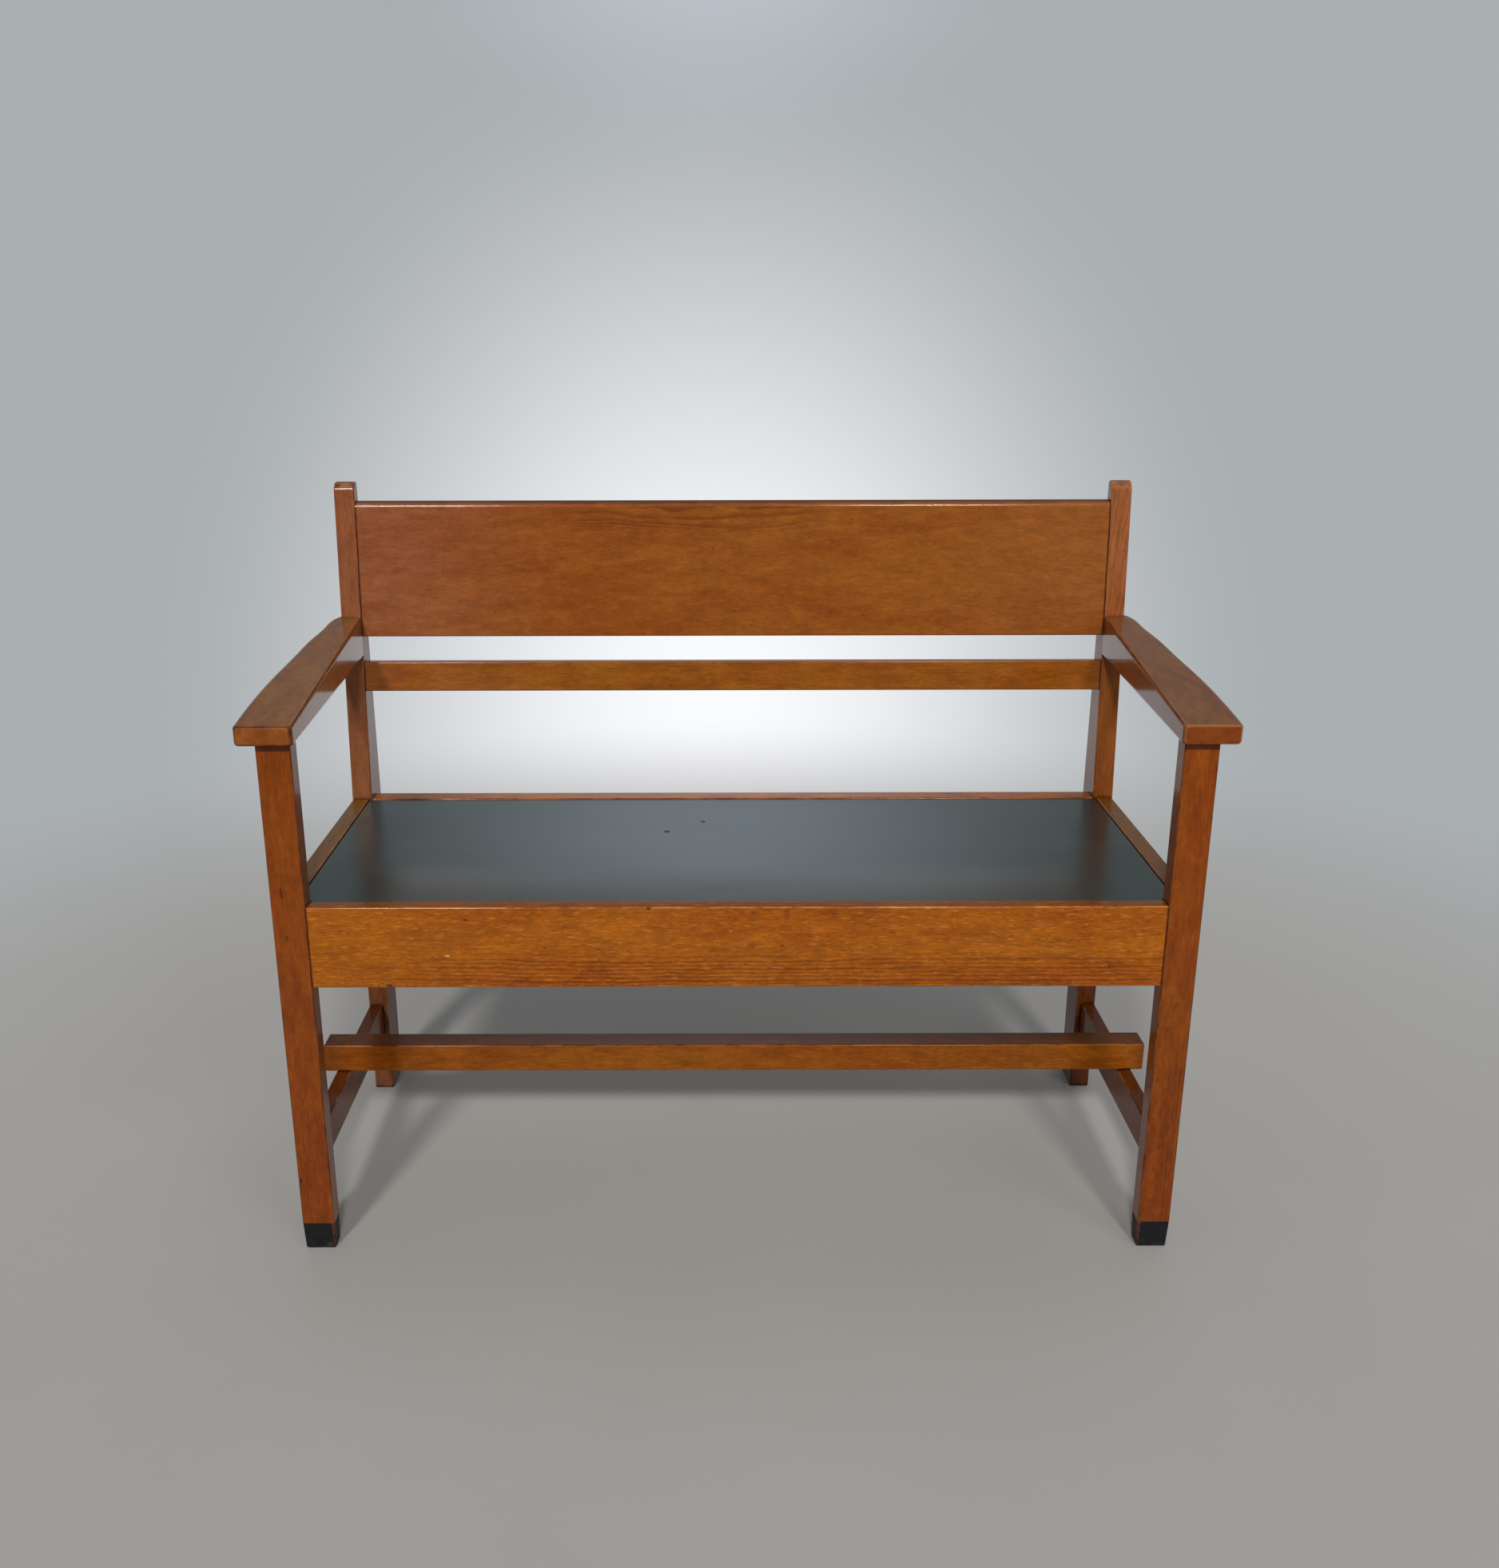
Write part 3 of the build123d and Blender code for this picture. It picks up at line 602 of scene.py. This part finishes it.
def seat_covering():
    """Dark green leathercloth with a soft sheen, a painted paler sheen in its middle, a fine grain, two
    small nicks and painted shade in its corners.
    """
    graph = Graph("seat_leathercloth")
    place = graph.place()
    grain = graph.noise(place, (900.0, 900.0, 900.0), 2.0, 0.6)
    cloud = graph.noise(place, (3.0, 5.0, 3.0), 3.0, 0.55)
    fine = graph.noise(place, (60.0, 60.0, 60.0), 4.0, 0.6)
    wave = graph.noise(place, (5.0, 11.0, 5.0))
    colour = graph.mix(graph.step(cloud, 0.3, 0.7), SEAT_GREEN, SEAT_GREEN_PALE)
    colour = graph.mix(graph.times(graph.step(fine, 0.4, 0.75), 0.05), colour, SEAT_FADED)
    # A painted sheen: paler and bluer towards the middle of the seat
    away = graph.plus(graph.away(place, SEAT_SHEEN_MIDDLE, SEAT_SHEEN_REACH), cloud, 0.3)
    colour = graph.mix(graph.step(away, 1.1, 0.45, 0.0, 0.7), colour, SEAT_PAINTED_SHEEN)
    colour = graph.shift(1.0, colour, graph.grey(graph.step(grain, 0.3, 0.7, 0.84, 1.14)))
    rough = graph.plus(0.225, cloud, 0.08)
    for x, y, reach in SEAT_NICKS:
        away = graph.length(graph.vector("SUBTRACT", place, (x, y, SEAT_TOP)))
        nick = graph.step(graph.plus(away, fine, reach), reach * 1.6, reach)
        colour = graph.mix(nick, colour, SEAT_NICK)
        rough = graph.math("MAXIMUM", rough, nick)
    # Painted shade where the covering meets the rails
    colour = graph.mix(graph.times(graph.corner(0.85, 0.4), 0.8), colour, SEAT_CORNER_SHADE)
    height = graph.plus(graph.times(grain, 0.006), wave, 2.0)
    return graph.finish(colour, rough, height, SEAT_RELIEF, Specular_IOR_Level=0.92, IOR=1.62)


# Rubber cups and screws

RUBBER = srgb(9, 8, 12)
FLOOR_DUST = srgb(58, 53, 50)
RED_DUST = srgb(104, 48, 38)
RUBBER_RELIEF = 0.0006
FLOOR_DUST_HEIGHT = 0.012
FLOOR_DUST_FULL = 0.001
RUBBED_REACH = 0.0085
RUBBED_FULL = 0.0045
RUBBED_WAVER = 0.006
STEEL = srgb(150, 150, 152)
STEEL_BROWN = srgb(96, 76, 60)
STEEL_RELIEF = 0.00005


def foot_rubber():
    """Black rubber, dusty towards the floor, with red dust rubbed into its inner front edge."""
    graph = Graph("foot_rubber")
    place = graph.place()
    parts = graph.parts(place)
    dust = graph.noise(place, (90.0, 90.0, 150.0), 4.0, 0.65)
    fine = graph.noise(place, (600.0, 600.0, 600.0), 3.0, 0.6)
    low = graph.step(parts[Z], FLOOR_DUST_HEIGHT, FLOOR_DUST_FULL, 0.10, 1.10)
    share = graph.math("MULTIPLY", graph.step(dust, 0.45, 0.7), low, clamp=True)
    colour = graph.mix(share, RUBBER, FLOOR_DUST)
    inner = graph.math("SUBTRACT", graph.math("ABSOLUTE", parts[X]), LEG_INNER)
    front = graph.math("SUBTRACT", parts[Y], LEG_FRONT)
    away = graph.plus(graph.math("ADD", inner, front), dust, RUBBED_WAVER)
    colour = graph.mix(graph.step(away, RUBBED_REACH, RUBBED_FULL, 0.0, 0.75), colour, RED_DUST)
    height = graph.plus(graph.times(dust, 2.0), fine, 0.5)
    return graph.finish(colour, graph.plus(0.42, fine, 0.25), height, RUBBER_RELIEF,
                        Specular_IOR_Level=0.3)


def screw_steel():
    """Dull steel with a few brown spots."""
    graph = Graph("screw_steel")
    spot = graph.noise(graph.place(), (400.0, 400.0, 400.0), 4.0, 0.6)
    colour = graph.mix(graph.step(spot, 0.5, 0.7), STEEL, STEEL_BROWN)
    return graph.finish(colour, graph.plus(0.3, spot, 0.35), spot, STEEL_RELIEF, Metallic=1.0)


# Each node's material

MATERIALS = {node: oak(node, axes, seed, colour, changes)
             for seed, (node, (axes, colour, changes)) in enumerate(BOARDS.items(), 1)}
MATERIALS.update({
    "seat_cover": seat_covering(),
    "front_foot_cap_left": foot_rubber(),
    "seat_board": bare_wood("seat_board_deal", DEAL, X, LONG_ALONG),
    "seat_batten_front": bare_wood("batten_deal", DEAL, X, LONG_ALONG),
    "seat_batten_left": bare_wood("side_batten_deal", DEAL, Y, LONG_ALONG),
    "corner_blocks": bare_wood("block_deal", DEAL, Z, SHORT_ALONG),
    "arm_leg_dowels": bare_wood("upright_dowel_beech", BEECH, Z, SHORT_ALONG),
    "arm_post_dowels": bare_wood("level_dowel_beech", BEECH, Y, SHORT_ALONG),
    "seat_frame_screws": screw_steel(),
})
SAME = {
    "front_foot_cap_right": "front_foot_cap_left",
    "seat_batten_back": "seat_batten_front",
    "seat_batten_right": "seat_batten_left",
    "stretcher_screws": "seat_frame_screws",
}
for node_name, node_object in frame["nodes"].items():
    material = MATERIALS[SAME.get(node_name, node_name)]
    if not node_object.material_slots:
        node_object.data.materials.append(material)
    for slot in node_object.material_slots:
        slot.material = material


# Floor, backdrop and lamps

FLOOR_SIZE = 14.0
FLOOR_FADE_START = 0.95
FLOOR_FADE_END = 2.4
FLOOR_COLOUR = srgb(165, 163, 160)
FLOOR_COLOUR_PALE = srgb(171, 169, 166)

AMBIENT = 0.28
AMBIENT_COLOUR = (0.93, 0.96, 1.0, 1.0)
BACKDROP_COLOUR = srgb(170, 175, 178)
BACKDROP_FRONT_COLOUR = srgb(138, 141, 143)
BACKDROP_HIGH_COLOUR = srgb(116, 126, 126)

# Paler patches of the backdrop behind the settle: the middle, the reach and the colour of each
PATCHES = (
    ((0.0, 1.0, -0.25), (0.36, 1.0, 0.43), srgb(251, 252, 255)),
    ((0.0, 1.0, 0.40), (0.27, 1.0, 0.32), srgb(228, 240, 255)),
)

# Soft lamps far off: the azimuth from the front towards the right and the elevation, in degrees,
# the strength, the spread in degrees, and the tint
LAMPS = {
    "left_lamp": (-14.5, 37.0, 1.45, 6.5, (1.0, 0.98, 0.95)),
    "right_lamp": (10.0, 37.0, 1.05, 6.5, (1.0, 0.98, 0.96)),
    "fill_lamp": (38.0, 32.0, 0.35, 25.0, (1.0, 0.98, 0.96)),
    "top_lamp": (170.0, 66.0, 0.25, 40.0, (0.95, 0.98, 1.0)),
}


def floor():
    """A pale floor that fades into the background away from the settle."""
    bpy.ops.mesh.primitive_plane_add(size=FLOOR_SIZE)
    plane = bpy.context.object
    plane.name = "studio_floor"
    graph = Graph("studio_floor")
    place = graph.place()
    colour = graph.mix(graph.noise(place, (3.0, 3.0, 3.0), 3.0), FLOOR_COLOUR, FLOOR_COLOUR_PALE)
    matte = graph.add("BsdfPrincipled", {"Base Color": colour, "Roughness": 0.7})
    clear = graph.add("BsdfTransparent")
    fade = graph.step(graph.length(place), FLOOR_FADE_START, FLOOR_FADE_END)
    blend = graph.add("MixShader", {0: fade, 1: matte.outputs[0], 2: clear.outputs[0]})
    graph.add("OutputMaterial", {"Surface": blend.outputs[0]})
    plane.data.materials.append(graph.owner)


def backdrop(graph):
    """The colour in each direction: darker above and in front, with pale patches behind."""
    direction = graph.add("TexCoord").outputs["Generated"]
    parts = graph.parts(direction)
    colour = graph.mix(graph.step(parts[Z], 0.16, 0.30), BACKDROP_COLOUR, BACKDROP_HIGH_COLOUR)
    for middle, reach, patch_colour in PATCHES:
        near = graph.step(graph.away(direction, middle, reach), 1.0, 0.0)
        colour = graph.mix(near, colour, patch_colour)
    return graph.mix(graph.step(parts[Y], 0.2, -0.6), colour, BACKDROP_FRONT_COLOUR)


def world():
    """Even light from all round, with a pale backdrop for the camera and for reflections."""
    sky = bpy.data.worlds.new("studio")
    bpy.context.scene.world = sky
    graph = Graph("studio", sky)
    path = graph.add("LightPath").outputs
    shown = graph.math("MAXIMUM", path["Is Camera Ray"], path["Is Glossy Ray"])
    shown = graph.math("MAXIMUM", shown, path["Is Transmission Ray"])
    ambient = graph.add("Background", {"Color": AMBIENT_COLOUR, "Strength": AMBIENT})
    pale = graph.add("Background", {"Color": backdrop(graph)})
    mixed = graph.add("MixShader", {0: shown, 1: ambient.outputs[0], 2: pale.outputs[0]})
    graph.add("OutputWorld", {"Surface": mixed.outputs[0]})


def lamp(name, azimuth, elevation, strength, spread, tint):
    """One soft lamp, as wide as its spread in the sky."""
    light = bpy.data.lights.new(name, "SUN")
    light.energy = strength
    light.angle = math.radians(spread)
    light.color = tint
    holder = bpy.data.objects.new(name, light)
    bpy.context.scene.collection.objects.link(holder)
    holder.rotation_euler = (math.radians(90 - elevation), 0.0, math.radians(azimuth))


floor()
world()
for lamp_name, lamp_values in LAMPS.items():
    lamp(lamp_name, *lamp_values)


# Camera

def camera():
    """The photograph's camera: turned, pitched, then rolled about its own axis."""
    yaw = math.radians(CAMERA_YAW)
    pitch = math.radians(CAMERA_PITCH)
    roll = math.radians(CAMERA_ROLL)
    right = Vector((math.cos(yaw), math.sin(yaw), 0.0))
    ahead = Vector((-math.sin(yaw), math.cos(yaw), 0.0))
    forward = ahead * math.cos(pitch) - Vector((0.0, 0.0, math.sin(pitch)))
    up = ahead * math.sin(pitch) + Vector((0.0, 0.0, math.cos(pitch)))
    rolled_right = right * math.cos(roll) - up * math.sin(roll)
    rolled_up = right * math.sin(roll) + up * math.cos(roll)
    lens = bpy.data.cameras.new("photograph_camera")
    lens.sensor_fit = "AUTO"
    lens.sensor_width = SENSOR
    longest = max(IMAGE_WIDTH, IMAGE_HEIGHT)
    lens.lens = FOCAL_PIXELS / longest * SENSOR
    lens.shift_x = (IMAGE_WIDTH / 2 - AXIS_X_PIXELS) / longest
    lens.shift_y = (AXIS_Y_PIXELS - IMAGE_HEIGHT / 2) / longest
    holder = bpy.data.objects.new("photograph_camera", lens)
    bpy.context.scene.collection.objects.link(holder)
    axes = Matrix((rolled_right, rolled_up, -forward)).transposed().to_4x4()
    holder.matrix_world = Matrix.Translation(CAMERA_PLACE) @ axes
    bpy.context.scene.camera = holder


camera()
bpy.context.scene.view_settings.view_transform = "Standard"
